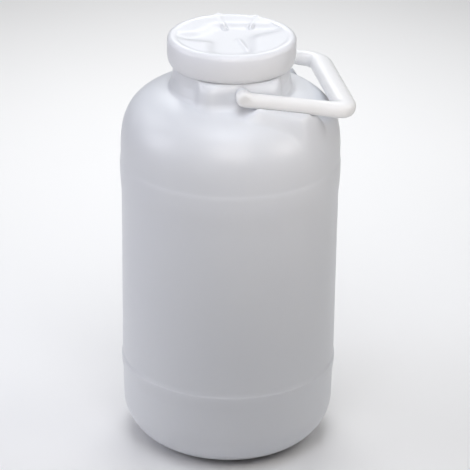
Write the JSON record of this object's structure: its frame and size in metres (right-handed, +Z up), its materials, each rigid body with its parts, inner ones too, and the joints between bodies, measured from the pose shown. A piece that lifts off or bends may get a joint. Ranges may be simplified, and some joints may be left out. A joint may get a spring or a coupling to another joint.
{
  "type": "wide-mouth plastic drum",
  "caption": "Round upright blow-moulded drum with a domed shoulder, a wide neck, a screw cap and a bail handle that swings about its neck.",
  "frame": {"origin": "centre of the base, on the surface that the drum stands on", "axes": "+Z up along the drum's axis, -Y towards the viewer of the picture, +X to the viewer's right, the side that the bail lies folded to"},
  "size_m": [0.2242, 0.2138, 0.4212],
  "materials": {
    "drum_plastic": "satin blow-moulded white polyethylene",
    "cap_plastic": "satin injection-moulded white polyethylene",
    "bail_plastic": "satin injection-moulded white polyethylene"
  },
  "bodies": {
    "drum": {"drum_body": "drum_plastic", "screw_cap": "cap_plastic"},
    "handle": {"bail_handle": "bail_plastic"}
  },
  "joints": [
    {"name": "bail_pivot", "type": "hinge", "parent": "drum", "child": "handle", "pos_m": [0, 0, 0.3818], "axis": [0.1685, -0.9857, 0], "range_deg": [0, 200]}
  ]
}
